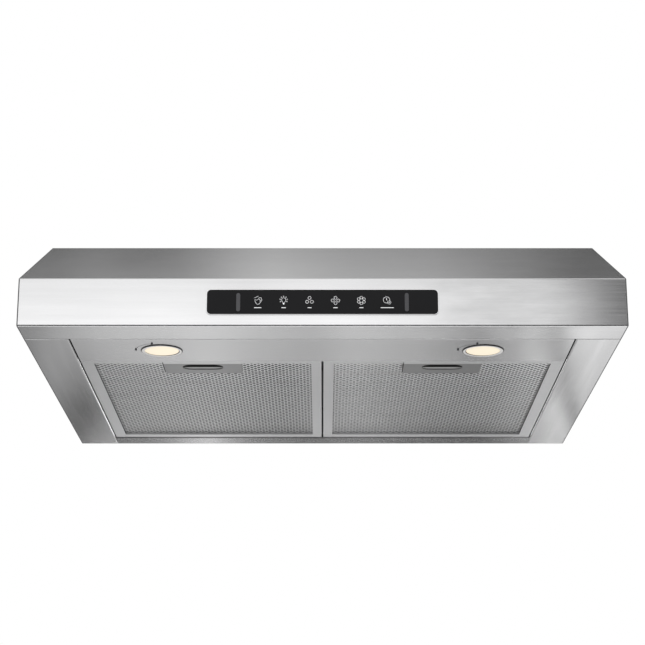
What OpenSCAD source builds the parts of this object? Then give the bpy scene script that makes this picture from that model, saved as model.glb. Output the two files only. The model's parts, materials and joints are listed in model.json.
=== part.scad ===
// Under cabinet range hood: a folded sheet steel canopy with a sloping front, a touch control
// strip, two twist-off lamps, two swing-down grease filters and a blower that feeds a round
// duct collar through two damper flaps. Millimetres.
// Origin: centre of the four cabinet screw holes, on the flat top. +X is to the right as seen
// from the front, +Y points to the wall, +Z is up.

/* [Canopy] */
// Width across the outside of the side panels
body_w = 600; // [590:5:610]
// Depth from the wall to the front face
body_d = 504; // [504:1:508]
// Height from the underside to the flat top
body_h = 152; // [152:1:156]
// Depth of the flat top
top_d = 302; // [300:1:304]
// Height of the upright front face
face_h = 49; // [46:1:50]
// Thickness of the sheet steel
sheet = 1.2; // [1:0.1:1.3]
// Outside radius of the folds above and below the slope
fold_r = 2.5; // [1.5:0.5:4]

/* [Underside] */
// Depth of the front strip of the underside
strip_d = 46.5; // [44:0.5:48]
// Width of each side strip of the underside
side_w = 45.5; // [44:0.5:46]
// Depth of the lamp panel
lamp_panel_d = 80.5; // [78:0.5:81]
// Depth of a grease filter
filter_d = 345; // [343:1:345]
// Height of the inner lips of the underside frame
lip_h = 11; // [8:1:11]

/* [Lamps] */
// Distance of each lamp from the middle
lamp_x = 164.7; // [150:0.1:175]
// Distance of the lamps behind the front face
lamp_depth = 86.3; // [82:0.1:90]
// Outside radius of the twist-off bezel
bezel_r = 21.5; // [21.5:0.1:22]
// Radius of the frosted lens
lens_r = 17.4; // [16:0.1:17.4]
// Angle through which a bezel twists to release
twist_deg = 70; // [60:1:75]

/* [Controls] */
// Width of the glass control strip
glass_w = 226.5; // [200:0.5:230]
// Height of the glass control strip
glass_h = 24.1; // [22:0.1:25]
// Distance of the glass below the fold
glass_drop = 12.3; // [11:0.1:13]
// Distance of each gesture window from the middle
window_x = 82.9; // [80:0.1:84]

/* [Filters] */
// Thickness of a grease filter
filter_t = 10; // [10:0.5:10.5]
// Width of the handle plate
handle_w = 82; // [78:1:84]
// Length of the finger slot
slot_l = 43; // [40:1:43]
// Width of the finger slot
slot_w = 20; // [18:0.5:20]
// Travel of the latch
latch_travel = 5.5; // [5:0.5:6]

/* [Duct] */
// Outside radius of the duct collar
collar_r = 75; // [74:0.5:75]
// Height of the duct collar above the flat top
collar_h = 38; // [36:1:44]
// Distance of the collar behind the screw pattern's centre
collar_y = 52; // [52:1:53]

/* [Mounting] */
// Spacing of the cabinet screw holes from side to side
screw_dx = 500; // [480:5:520]
// Spacing of the cabinet screw holes from front to back
screw_dy = 210; // [200:5:220]
// Radius of a cabinet screw hole
screw_hole_r = 3.25; // [3:0.25:3.5]

/* [Blower] */
// Outside radius of the impeller
impeller_r = 64; // [60:1:65]
// Number of impeller blades
blade_count = 30; // [24:1:36]

/* [Hidden] */
$fn = 48;

// Colours
steel = [0.78, 0.79, 0.80];
galvanised = [0.66, 0.69, 0.72];
black = [0.08, 0.08, 0.09];
dark = [0.25, 0.25, 0.27];
copper = [0.72, 0.42, 0.20];
board_green = [0.10, 0.35, 0.20];
warm_white = [1.0, 0.95, 0.85];
alloy = [0.70, 0.71, 0.72];
white = [0.92, 0.92, 0.90];

// Canopy outline
fit_gap = 0.25;
back_y = top_d / 2;
front_y = back_y - body_d;
fold_y = -top_d / 2;
bot_z = -body_h;
fold_z = bot_z + face_h;
in_w = body_w / 2 - sheet;
slope_a = atan2(-fold_z, fold_y - front_y);
slope_t = sheet / cos(slope_a);
edge_r = 2;
glass_corner = 3.6;
wrap_flange = 12;
face_fold = [front_y + fold_r, fold_z + fold_r * tan(slope_a) - fold_r / cos(slope_a)];
top_fold = [fold_y + fold_r * tan(slope_a / 2), -fold_r];
wrap_back_y = fold_y + wrap_flange;

// Underside
open_x = body_w / 2 - side_w;
lamp_y0 = front_y + strip_d;
filt_y0 = lamp_y0 + lamp_panel_d;
filt_y1 = filt_y0 + filter_d;
rail_gap = 3;
rail_y0 = filt_y1 + rail_gap;
panel_z = bot_z;
panel_top = panel_z + sheet;
panel_gap = 1.3;
bezel_drop = 0.6;
panel_flange_h = 12.5;
strip_y1 = lamp_y0 - fit_gap;
lip_top = bot_z + lip_h;
hem_r = 1.2;
lamp_y = front_y + lamp_depth;
lamp_hole_r = 19;
mark_r = 26.5;
mark_a0 = 189.5;
mark_a1 = 252.5;

// Filters, measured on the right-hand one
filt_z = bot_z + 0.5;
filt_top = filt_z + filter_t;
filt_x0 = 0.7;
filt_x1 = open_x - 0.5;
frame_t = 0.8;
mesh_rise = 3;
mesh_x0 = 12;
mesh_x1 = open_x - 14;
mesh_y0 = filt_y0 + 12;
mesh_y1 = filt_y1 - 13;
handle_x = (mesh_x0 + mesh_x1) / 2 + 0.45;
handle_t = 1;
handle_r = 4.5;
notch_gap = 0.3;
slot_y = mesh_y0 + 13;
slider_back = slot_y + slot_w / 2 + 1.7;
spring_shut = 6.8;
handle_y1 = slider_back + latch_travel + spring_shut + handle_t;
handle_d = handle_y1 - mesh_y0;
tongue_w = 24;
tongue_z = panel_top + 0.7;
tongue_t = 3.2;
tongue_reach = 4;
tab_w = 30;
tab_reach = 9;
pleats = 60;

// Blower
axle = [-70, -115];
scroll_r0 = 74;
scroll_r1 = 106;
tongue_a = 60;
shell_top = -40.8;
scroll_top = shell_top - sheet;
scroll_bot = -106;
floor_bot = scroll_bot - sheet;
box_half = 88;
box_front = collar_y - box_half;
box_back = collar_y + box_half;
box_bot = floor_bot - sheet;
outlet_x0 = axle.x + scroll_r0 * cos(tongue_a);
outlet_x1 = axle.x + scroll_r1;
shell_x = [axle.x - 108, axle.x + 128];
shell_y = [axle.y - 104, box_front - sheet];
stud_x = [axle.x - 98, axle.x + 118];
stud_y = [-140, -54];
inlet_r = 52;
bush_hole_r = 5;
shaft_r = 4;
running_gap = 0.05;
motor_hole_r = 50;
motor_screw_r = 54;

// Wiring box
wbox_lo = [110, 10, -58];
wbox_hi = [230, 130, -sheet];
cable_at = [200, 112];
cable_r = 6.5;
baffle_y = filt_y0 - 2.4;
pass_at = [170, -70];

// ---------------------------------------------------------------- shared shapes

// Box from its lowest to its highest corner
module block(low, high) { translate(low) cube(high - low); }

// Points on an arc about c from angle a0 to a1
function arc(c, r, a0, a1, n = 6) =
    [for (i = [0:n]) c + r * [cos(a0 + (a1 - a0) * i / n), sin(a0 + (a1 - a0) * i / n)]];

// Height of the inner surface of the slope at depth y
function slope_in(y) = fold_z + (y - front_y) * tan(slope_a) - slope_t;

module rounded_rect(w, h, r) {
    square([w - 2 * r, h], center = true);
    square([w, h - 2 * r], center = true);
    for (x = [-1, 1], y = [-1, 1]) translate([x * (w / 2 - r), y * (h / 2 - r)]) circle(r);
}

module stadium(l, w) {
    square([l - w, w], center = true);
    for (x = [-1, 1]) translate([x * (l - w) / 2, 0]) circle(w / 2);
}

// Extrudes a shape drawn in X and Z along +Y, from y0 to y1
module along_y(y0, y1) {
    rotate([90, 0, 0]) translate([0, 0, -y1]) linear_extrude(y1 - y0) children();
}

// Extrudes a shape drawn in Y and Z along +X, from x0 to x1
module along_x(x0, x1) {
    rotate([90, 0, 90]) translate([0, 0, x0]) linear_extrude(x1 - x0) children();
}

// Rectangle from its lowest to its highest corner, with rounded lower corners
module hemmed(low, high, r0, r1) {
    polygon(concat(
        r0 > 0 ? arc([low.x + r0, low.y + r0], r0, 180, 270) : [low],
        r1 > 0 ? arc([high.x - r1, low.y + r1], r1, 270, 360) : [[high.x, low.y]],
        [high, [low.x, high.y]]));
}

// Space outside a rolled edge whose corner is at the origin, with the sheet towards +X and +Y
module roll_cut(r) {
    difference() {
        translate([-1, -1]) square(r + 1);
        translate([r, r]) circle(r, $fn = 24);
    }
}

// Rectangular ring between two boxes given by their corners in X and Y
module ring_plate(lo, hi, in_lo, in_hi, z0, z1) {
    difference() {
        block([lo.x, lo.y, z0], [hi.x, hi.y, z1]);
        block([in_lo.x, in_lo.y, z0 - 1], [in_hi.x, in_hi.y, z1 + 1]);
    }
}

module tube(r_out, r_in, z0, z1) {
    translate([0, 0, z0]) difference() {
        cylinder(r = r_out, h = z1 - z0);
        translate([0, 0, -1]) cylinder(r = r_in, h = z1 - z0 + 2);
    }
}

function unit(v) = v / norm(v);

// Direction of a route at its point i, halfway between the stretches that meet there
function heading(p, i) = unit(
    (i > 0 ? unit(p[i] - p[i - 1]) : [0, 0, 0]) +
    (i < len(p) - 1 ? unit(p[i + 1] - p[i]) : [0, 0, 0]));

// Wire along a route of points, mitred where it bends
module wire(p, r, sides = 8) {
    side = unit([0.3, 0.2, 0.9]);
    last = (len(p) - 1) * sides;
    points = [for (i = [0:len(p) - 1])
        let (d = heading(p, i), u = unit(cross(d, side)), v = cross(d, u))
        for (k = [0:sides - 1]) p[i] + r * (cos(360 * k / sides) * u + sin(360 * k / sides) * v)];
    walls = [for (i = [0:len(p) - 2], k = [0:sides - 1])
        let (a = i * sides + k, b = i * sides + (k + 1) % sides)
        each [[a, a + sides, b + sides], [a, b + sides, b]]];
    polyhedron(points, concat(
        [[for (k = [0:sides - 1]) k], [for (k = [sides - 1:-1:0]) last + k]], walls));
}

// Taped joint where wires branch
module splice(p) { translate(p) cube([10, 10, 8], center = true); }

// Pan head screw that points up from z = 0, with its head below
module screw(r, l, head_r, head_h) {
    translate([0, 0, -0.01]) cylinder(r = r, h = l + 0.01);
    translate([0, 0, -head_h]) cylinder(r = head_r, h = head_h);
}

// Mirrors a right-hand shape to the left when side is -1
module on_side(side) { mirror([side < 0 ? 1 : 0, 0, 0]) children(); }

// ---------------------------------------------------------------- canopy

// Outer edge of the canopy from the lower front edge up to the flat top, in Y and Z
function canopy_edge() = concat(
    arc([front_y + edge_r, bot_z + edge_r], edge_r, 270, 180),
    arc(face_fold, fold_r, 180, 90 + slope_a),
    arc(top_fold, fold_r, 90 + slope_a, 90));

module top_panel() {
    color(steel) difference() {
        block([-in_w, wrap_back_y, -sheet], [in_w, back_y, 0]);
        for (x = [-1, 1], y = [-1, 1])
            translate([x * screw_dx / 2, y * screw_dy / 2, -5]) cylinder(r = screw_hole_r, h = 10);
        translate([0, collar_y, -5]) cylinder(r = collar_r + fit_gap, h = 10, $fn = 96);
        translate([cable_at.x, cable_at.y, -5]) cylinder(r = cable_r + 3, h = 10);
        casing_screw_places() translate([0, 0, -5]) cylinder(r = 2, h = 10);
    }
}

// One bent sheet: flange on the flat top, slope, face, front strip of the underside and its lip
module front_wrap() {
    inner = fold_r - sheet;
    lower = edge_r - sheet;
    rear = [strip_y1 - edge_r, bot_z + edge_r];
    color(steel) difference() {
        along_x(-in_w, in_w) polygon(concat(
            [[strip_y1, lip_top]],
            arc(rear, edge_r, 0, -90),
            canopy_edge(),
            [[wrap_back_y, 0], [wrap_back_y, -sheet]],
            arc(top_fold, inner, 90, 90 + slope_a),
            arc(face_fold, inner, 90 + slope_a, 180),
            arc([front_y + edge_r, bot_z + edge_r], lower, 180, 270),
            arc(rear, lower, -90, 0),
            [[strip_y1 - sheet, lip_top]]));
        glass_place() translate([0, -1, 0]) along_y(0, 5)
            rounded_rect(glass_w + 2 * fit_gap, glass_h + 2 * fit_gap, glass_corner + fit_gap);
    }
}

module side_panel(side) {
    color(steel) on_side(side) along_x(in_w, body_w / 2)
        polygon(concat(canopy_edge(), [[back_y, 0], [back_y, bot_z]]));
}

module back_panel() {
    color(steel) block([-in_w, back_y - sheet, bot_z], [in_w, back_y, -sheet]);
}

// Two side strips with lips along the opening, joined by a bar on the lip of the front strip
module underside_frame() {
    y0 = lamp_y0 + fit_gap;
    y1 = back_y - sheet;
    x0 = open_x + fit_gap;
    bend = [x0 + edge_r, bot_z + edge_r];
    tie_z = lip_top + 0.3;
    tie_y = [strip_y1 - 10, strip_y1];
    riser = 14;
    color(steel) {
        block([-x0 - sheet, tie_y[0], tie_z], [x0 + sheet, tie_y[1], tie_z + sheet]);
        for (side = [-1, 1]) on_side(side) {
            intersection() {
                along_y(y0, y1) polygon(concat(
                    [[in_w, bot_z + sheet], [in_w, bot_z]],
                    arc(bend, edge_r, 270, 180),
                    [[x0, lip_top], [x0 + sheet, lip_top]],
                    arc(bend, edge_r - sheet, 180, 270)));
                along_x(x0 - 1, in_w + 1) hemmed([y0, bot_z], [y1, lip_top], hem_r, 0);
            }
            block([x0, y0, lip_top - 2], [x0 + sheet, y0 + riser, tie_z + sheet]);
            block([x0, tie_y[0], tie_z], [x0 + sheet, y0 + 1, tie_z + sheet]);
        }
    }
}

// The two dots and the arc between them, cut into the lamp panel beside a lamp
module twist_mark(depth) {
    for (a = [mark_a0, mark_a1])
        rotate([0, 0, a]) translate([mark_r, 0, 0]) cylinder(r = 1.1, h = depth, $fn = 24);
    rotate([0, 0, mark_a0 + 4]) rotate_extrude(angle = mark_a1 - mark_a0 - 8)
        translate([mark_r - 0.3, 0]) square([0.6, depth]);
}

module light_panel() {
    x1 = open_x - panel_gap;
    y0 = lamp_y0 + fit_gap;
    flange_top = panel_z + panel_flange_h;
    color(steel) difference() {
        union() {
            along_x(-x1, x1) hemmed([y0, panel_z], [filt_y0, panel_top], hem_r, 0);
            block([-x1, y0, panel_z + hem_r], [x1, y0 + sheet, flange_top]);
            block([-x1, filt_y0 - sheet, panel_z + hem_r], [x1, filt_y0, flange_top]);
        }
        for (side = [-1, 1]) {
            translate([side * lamp_x, lamp_y, panel_z]) {
                translate([0, 0, -1]) cylinder(r = lamp_hole_r, h = 4, $fn = 72);
                translate([0, 0, -0.01]) twist_mark(0.3);
                for (i = [0:2]) lug_notch(i * 120 + twist_deg);
            }
            translate([side * handle_x, filt_y0, 0])
                block([-tongue_w / 2 - 3, -3, tongue_z - 0.4],
                      [tongue_w / 2 + 3, 1, tongue_z + tongue_t + 1]);
        }
    }
}

// Notch that lets a bezel lug through the panel once the bezel is twisted
module lug_notch(a) {
    rotate([0, 0, -a]) translate([lamp_hole_r - 2, -3.2, -1]) cube([4, 6.4, 4]);
}

module rear_rail() {
    x1 = open_x - fit_gap;
    y1 = back_y - sheet;
    color(steel) {
        along_x(-x1, x1) hemmed([rail_y0, bot_z], [y1, bot_z + sheet], hem_r, 0);
        block([-x1, y1 - sheet, bot_z], [x1, y1, bot_z + lip_h]);
    }
}

module front_baffle() {
    top_z = slope_in(baffle_y) - 0.5;
    color(galvanised) difference() {
        block([-in_w + 0.3, baffle_y, bot_z + lip_h + 0.3], [in_w - 0.3, baffle_y + sheet, top_z]);
        translate([pass_at.x, baffle_y - 1, pass_at.y]) rotate([-90, 0, 0])
            cylinder(r = 7, h = 5);
    }
}

// ---------------------------------------------------------------- duct and damper

flange_z = -2 * sheet;
stop_z = 13.6;
flap_z = 15.6;
flap_t = 0.8;
pin_z = 17.2;
pin_y = 3.2;
pin_r = 1.2;
barrel_r = 2.4;
flap_r = collar_r - 2.4;

module duct_collar() {
    wall = 1;
    neck = 0.3;
    color(galvanised) translate([0, collar_y, 0]) difference() {
        union() {
            tube(collar_r, collar_r - wall, 0, collar_h);
            difference() {
                translate([0, 0, -sheet]) cylinder(r1 = collar_r - neck, r2 = collar_r, h = sheet);
                translate([0, 0, -sheet - 1]) cylinder(r = collar_r - wall, h = sheet + 2);
            }
            tube(box_half - 3, collar_r - wall, flange_z, -sheet);
            tube(collar_r - wall / 2, collar_r - 4.5, stop_z, stop_z + 1.8);
        }
        for (a = [0:90:270]) rotate([0, 0, a + 45])
            translate([collar_screw_r, 0, -5]) cylinder(r = 2, h = 5);
        for (y = [-pin_y, pin_y]) translate([-collar_r - 1, y, pin_z])
            rotate([0, 90, 0]) cylinder(r = pin_r + running_gap, h = 2 * collar_r + 2);
    }
}

module damper_pins() {
    reach = sqrt(pow(collar_r, 2) - pow(pin_y, 2)) - 0.3;
    color(galvanised) for (y = [-pin_y, pin_y])
        translate([-reach, collar_y + y, pin_z]) rotate([0, 90, 0])
            cylinder(r = pin_r, h = 2 * reach);
}

// A half-round flap with its hinge barrel: front is -1 and rear is 1
module damper_flap(side) {
    barrel_l = 2 * (collar_r - 6);
    color(galvanised) translate([0, collar_y, 0]) difference() {
        union() {
            translate([0, 0, flap_z]) intersection() {
                cylinder(r = flap_r, h = flap_t, $fn = 96);
                mirror([0, side < 0 ? 1 : 0, 0])
                    translate([-collar_r, pin_y, -1]) cube([2 * collar_r, collar_r, 3]);
            }
            translate([-barrel_l / 2, side * pin_y, pin_z]) rotate([0, 90, 0])
                cylinder(r = barrel_r, h = barrel_l);
        }
        translate([-collar_r, side * pin_y, pin_z]) rotate([0, 90, 0])
            cylinder(r = pin_r + running_gap, h = 2 * collar_r);
    }
}

// ---------------------------------------------------------------- controls

glass_t = 3;
window_w = 4;
window_h = 19;
board_y = front_y + 6;
carrier_back = front_y + 17;

module glass_place() {
    translate([0, front_y, fold_z - glass_drop - glass_h / 2]) children();
}

module control_glass() {
    color(black) glass_place() difference() {
        along_y(0, glass_t) rounded_rect(glass_w, glass_h, glass_corner);
        for (side = [-1, 1]) translate([side * window_x, -1, 0]) along_y(0, glass_t + 2)
            rotate(90) stadium(window_h + 0.2, window_w + 0.2);
    }
}

module gesture_windows() {
    color(dark) glass_place() for (side = [-1, 1])
        translate([side * window_x, 0, 0]) along_y(0, glass_t) rotate(90) stadium(window_h, window_w);
}

module control_board() {
    half = glass_w / 2 - 4;
    color(board_green) glass_place() {
        translate([0, board_y - front_y, 0]) {
            block([-half, 0, -9.5], [half, 1.6, 9.5]);
            for (side = [-1, 1]) translate([side * window_x, 0, 0])
                block([-3, -2.8, -5], [3, 0.01, 5]);
            block([-14, 1.59, -6], [4, 3.4, 6]);
            block([30, 1.59, -4], [44, 6.5, 4]);
            for (i = [-2:3]) translate([(i - 0.5) * 25.6, 0, 2]) rotate([90, 0, 0])
                cylinder(r = 3.5, h = 2.6);
        }
    }
}

module control_carrier() {
    half = glass_w / 2 + 5;
    tall = glass_h / 2 + 4;
    wall = 1.6;
    y0 = sheet + 2.1;
    y1 = carrier_back - front_y;
    color(dark) glass_place() difference() {
        union() {
            difference() {
                block([-half, y0, -tall], [half, y1, tall]);
                block([-half + wall, y0 - 1, -tall + wall], [half - wall, y1 - wall, tall - wall]);
            }
            for (side = [-1, 1], z = [-8, 8]) translate([side * (half - 10), board_y - front_y + 1.6, z])
                block([-2, 0, -1.2], [2, y1 - wall - board_y + front_y - 1.5, 1.2]);
        }
        translate([100, y1 - 3, 0]) rotate([-90, 0, 0]) cylinder(r = 3.5, h = 5);
    }
}

// ---------------------------------------------------------------- blower

// Radius of the inside of the scroll wall at angle a
function scroll_r(a) = scroll_r0 + (scroll_r1 - scroll_r0) * (a - tongue_a) / (360 - tongue_a);

// Outline of the scroll, grown outwards by t, with its straight outlet
function scroll_outline(t, y_end) = concat(
    [[outlet_x1 - axle.x + t, y_end], [outlet_x0 - axle.x - t, y_end]],
    [for (a = [tongue_a:10:360]) (scroll_r(a) + t) * [cos(a), sin(a)]]);

module scroll_wall() {
    end = box_front - axle.y - sheet;
    translate([axle.x, axle.y, scroll_bot]) linear_extrude(scroll_top - scroll_bot)
        difference() {
            polygon(scroll_outline(sheet, end));
            polygon(scroll_outline(0, end + 1));
        }
}

module blower_shell() {
    color(galvanised) difference() {
        union() {
            block([shell_x[0], shell_y[0], scroll_top], [shell_x[1], shell_y[1], shell_top]);
            scroll_wall();
        }
        translate([axle.x, axle.y, scroll_top - 1]) cylinder(r = motor_hole_r, h = 5, $fn = 72);
        stud_places() translate([0, 0, scroll_top - 1]) cylinder(r = bush_hole_r, h = 5);
        motor_screw_places() translate([0, 0, scroll_top - 1]) cylinder(r = 1.9, h = 5);
    }
}

module blower_floor() {
    color(galvanised) difference() {
        translate([axle.x, axle.y, floor_bot]) linear_extrude(sheet)
            polygon(scroll_outline(sheet, box_front - axle.y - sheet));
        translate([axle.x, axle.y, floor_bot - 1])
            cylinder(r = inlet_r + 4, h = 5, $fn = 72);
    }
}

// Bell-mouth ring under the impeller with a finger guard of rings and spokes
module inlet_grille() {
    flange_low = floor_bot - 2;
    color(dark) translate([axle.x, axle.y, 0]) {
        tube(inlet_r + 2, inlet_r, flange_low, floor_bot + 5);
        tube(inlet_r + 14, inlet_r, flange_low, floor_bot);
        for (r = [12:12:48]) tube(r + 1, r - 1, flange_low, flange_low + 2);
        for (a = [0:60:300]) rotate([0, 0, a])
            block([11.5, -1, flange_low], [inlet_r + 0.5, 1, flange_low + 2]);
    }
}

module discharge_box() {
    s = sheet;
    b = box_half;
    color(galvanised) difference() {
        union() {
            block([-b, box_front, box_bot], [b, box_back, -s]);
            block([-b - 10, box_front - 10, -2 * s], [b + 10, box_back, -s]);
        }
        block([-b + s, box_front + s, box_bot + s], [b - s, box_back - s, 0]);
        block([outlet_x0, box_front - 1, scroll_bot], [outlet_x1, box_front + s + 1, scroll_top]);
        casing_screw_places() translate([0, 0, -5]) cylinder(r = 2, h = 5);
    }
}

module stud_places() {
    for (x = stud_x, y = stud_y) translate([x, y, 0]) children();
}

module motor_screw_places() {
    for (a = [45:90:315]) translate([axle.x, axle.y, 0]) rotate([0, 0, a])
        translate([motor_screw_r, 0, 0]) children();
}

module blower_spacers() {
    color(galvanised) stud_places() difference() {
        translate([0, 0, shell_top + 4]) cylinder(r = 5, h = -sheet - shell_top - 4);
        translate([0, 0, shell_top + 3]) cylinder(r = 2.55, h = 20);
    }
}

module rubber_bushes() {
    color(black) stud_places() difference() {
        union() {
            translate([0, 0, shell_top]) cylinder(r = 8, h = 4);
            translate([0, 0, scroll_top - 0.01]) cylinder(r = bush_hole_r - 0.02, h = sheet + 0.02);
            translate([0, 0, scroll_top - 3]) cylinder(r = 8, h = 3);
        }
        translate([0, 0, scroll_top - 5]) cylinder(r = 2.6, h = 15);
    }
}

module blower_screws() {
    color(galvanised) stud_places() translate([0, 0, scroll_top - 3]) screw(2.5, 22, 5, 2.6);
}

// Fixed centre of the motor: a round plate with a tube that holds both bearings
tube_low = -78;
plate_top = shell_top + 3;

module motor_plate() {
    color(alloy) translate([axle.x, axle.y, 0]) difference() {
        union() {
            translate([0, 0, shell_top]) cylinder(r = 58, h = 3, $fn = 72);
            tube(11, 8, tube_low, shell_top + 0.01);
        }
        for (a = [45:90:315]) rotate([0, 0, a]) translate([motor_screw_r, 0, -60])
            cylinder(r = 1.9, h = 40);
    }
}

module motor_screws() {
    color(galvanised) motor_screw_places() translate([0, 0, plate_top]) mirror([0, 0, 1])
        screw(1.8, 6, 3.5, 2.2);
}

stack_low = -68;
stack_high = -50;
tooth_count = 8;

module stator_core() {
    color(dark) translate([axle.x, axle.y, stack_low]) linear_extrude(stack_high - stack_low)
        difference() {
            union() {
                circle(17);
                for (i = [0:tooth_count - 1]) rotate(i * 360 / tooth_count) {
                    translate([16, -2.5]) square([13, 5]);
                    intersection() {
                        translate([27, -9]) square([5, 18]);
                        circle(31);
                    }
                }
            }
            circle(11.05);
        }
}

// One coil round each tooth, clear of the laminations
module stator_windings() {
    color(copper) for (i = [0:tooth_count - 1])
        translate([axle.x, axle.y, 0]) rotate([0, 0, i * 360 / tooth_count]) difference() {
            block([17.6, -5, stack_low - 3.5], [26.6, 5, stack_high + 3.5]);
            block([17, -2.6, stack_low - 0.1], [27, 2.6, stack_high + 0.1]);
        }
}

module motor_bearings() {
    color(alloy) translate([axle.x, axle.y, 0]) {
        tube(7.98, shaft_r + running_gap, -48, -42);
        tube(7.98, shaft_r + running_gap, -76, -70);
    }
}

can_low = -86;

module rotor_can() {
    color(alloy) translate([axle.x, axle.y, 0]) {
        tube(36, 33, can_low, -47.5);
        tube(34, shaft_r, can_low, can_low + 2.5);
        tube(9, shaft_r, can_low, can_low + 5.5);
        tube(46, 35, -49, -47.5);
    }
}

module motor_shaft() {
    color(alloy) translate([axle.x, axle.y, can_low]) cylinder(r = shaft_r, h = 44.5);
}

module impeller() {
    wheel_top = -46;
    wheel_low = -100;
    blade_in = impeller_r - 10;
    color(dark) translate([axle.x, axle.y, 0]) {
        tube(impeller_r, 38, wheel_top - 1.5, wheel_top);
        tube(impeller_r, blade_in, wheel_low, wheel_low + 1.5);
        for (i = [0:blade_count - 1]) rotate([0, 0, i * 360 / blade_count])
            translate([blade_in + 2, -6.5, wheel_low]) rotate([0, 0, 10])
            rotate_extrude(angle = 75) translate([7, 0]) square([0.9, wheel_top - wheel_low - 0.5]);
    }
}

// ---------------------------------------------------------------- fasteners of the casing

collar_screw_r = collar_r + 5.5;

module casing_screw_places() {
    for (a = [45:90:315]) translate([0, collar_y, 0]) rotate([0, 0, a])
        translate([collar_screw_r, 0, 0]) children();
    for (side = [-1, 1], y = [-25, 75]) translate([side * (box_half + 5), y, 0]) children();
}

module casing_screws() {
    color(galvanised) casing_screw_places() translate([0, 0, flange_z]) screw(1.9, 2.2, 3.8, 2.2);
}

// ---------------------------------------------------------------- wiring

module wiring_box() {
    wall = 1;
    color(galvanised) difference() {
        block(wbox_lo, wbox_hi);
        block([wbox_lo.x + wall, wbox_lo.y + wall, wbox_lo.z - 1],
              [wbox_hi.x - wall, wbox_hi.y - wall, wbox_hi.z + 1]);
        translate([150, wbox_lo.y - 1, -20]) rotate([-90, 0, 0]) cylinder(r = 4.6, h = 4);
    }
}

module wiring_cover() {
    top = wbox_lo.z;
    color(galvanised) {
        block([wbox_lo.x - 3, wbox_lo.y - 3, top - sheet], [wbox_hi.x + 3, wbox_hi.y + 3, top]);
        for (x = [124, 216], y = [22, 60]) translate([x, y, top - 0.01]) cylinder(r = 2.5, h = 6);
    }
}

module power_board() {
    z = wbox_lo.z + 5.99;
    color(board_green) {
        block([118, 16, z], [222, 66, z + 1.6]);
        block([130, 26, z + 1.59], [158, 52, z + 20]);
        block([166, 24, z + 1.59], [182, 36, z + 13]);
        block([194, 40, z + 1.59], [214, 58, z + 11]);
        for (x = [170, 184]) translate([x, 50, z + 1.59]) cylinder(r = 4.5, h = 14);
    }
}

module led_driver() {
    z = wbox_lo.z;
    color(white) {
        block([118, 72, z], [174, 98, z + 18]);
        block([114, 80, z], [178, 90, z + 2]);
    }
}

module run_capacitor() {
    color(white) translate([182, 85, wbox_lo.z + 13.5]) rotate([0, 90, 0]) {
        cylinder(r = 13, h = 40);
        for (y = [-5, 5]) translate([0, y, 39.99]) cylinder(r = 1.5, h = 5);
    }
}

module terminal_block() {
    z = wbox_lo.z;
    color(white) difference() {
        block([122, 104, z], [172, 122, z + 15]);
        for (i = [0:4]) translate([127 + i * 10, 113, z + 7]) cylinder(r = 2.6, h = 10);
    }
}

// Bushing pressed into the top from below, flush with the flat top
module cable_grommet() {
    flange_h = 4;
    color(black) translate([cable_at.x, cable_at.y, 0]) difference() {
        union() {
            translate([0, 0, -sheet - 0.01]) cylinder(r = cable_r + 2.98, h = sheet + 0.01);
            translate([0, 0, -sheet - flange_h]) cylinder(r = cable_r + 5.5, h = flange_h);
        }
        translate([0, 0, -20]) cylinder(r = cable_r, h = 40);
    }
}

// A trunk from the wiring box to the front compartment, with a branch for the motor, one for
// the control board and one for each lamp
module wiring_harness() {
    run_z = -20;
    turn = [150, -75, run_z];
    lamp_top = panel_top + 26.5;
    split = [pass_at.x, baffle_y - 20, pass_at.y];
    color(black) {
        wire([[turn.x, 30, run_z], turn, [pass_at.x, -150, -30],
              [pass_at.x, baffle_y + 25, pass_at.y], split], 3.5);
        wire([turn, [-30, turn.y, run_z], [-42, -90, -30], [-42, -98, plate_top + 2]], 2);
        wire([split, [150, front_y + 60, -95], [100, front_y + 35, -125],
              [100, carrier_back - 4, -127.3]], 2);
        wire([split, [lamp_x, lamp_y, -100], [lamp_x, lamp_y, lamp_top]], 1.8);
        wire([split, [100, baffle_y - 16, -78], [-120, baffle_y - 16, -78],
              [-lamp_x, lamp_y, -100], [-lamp_x, lamp_y, lamp_top]], 1.8);
        splice(turn);
        splice(split);
    }
}

// ---------------------------------------------------------------- lamps

cup_top = panel_top + 11;

module lamp_places() {
    for (side = [-1, 1]) translate([side * lamp_x, lamp_y, 0]) children();
}

// Cup above the hole in the lamp panel, which carries the light source
module lamp_brackets() {
    color(galvanised) lamp_places() {
        tube(25.2, 24, panel_top, cup_top);
        tube(25.2, 8.2, cup_top, cup_top + sheet);
        tube(31, 24.5, panel_top, panel_top + sheet);
    }
}

// Light source under the cup's top and a finned heat sink above it
module led_modules() {
    fin_low = cup_top + sheet;
    color(alloy) lamp_places() {
        translate([0, 0, cup_top - 2.5]) cylinder(r = 15, h = 2.5);
        translate([0, 0, cup_top - 0.01]) cylinder(r = 8, h = sheet + 0.02);
        translate([0, 0, fin_low]) cylinder(r = 19, h = 3);
        intersection() {
            for (x = [-15:5:15]) block([x - 0.8, -19, fin_low + 2.9], [x + 0.8, 19, fin_low + 14]);
            translate([0, 0, fin_low]) cylinder(r = 19, h = 20);
        }
    }
}

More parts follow.
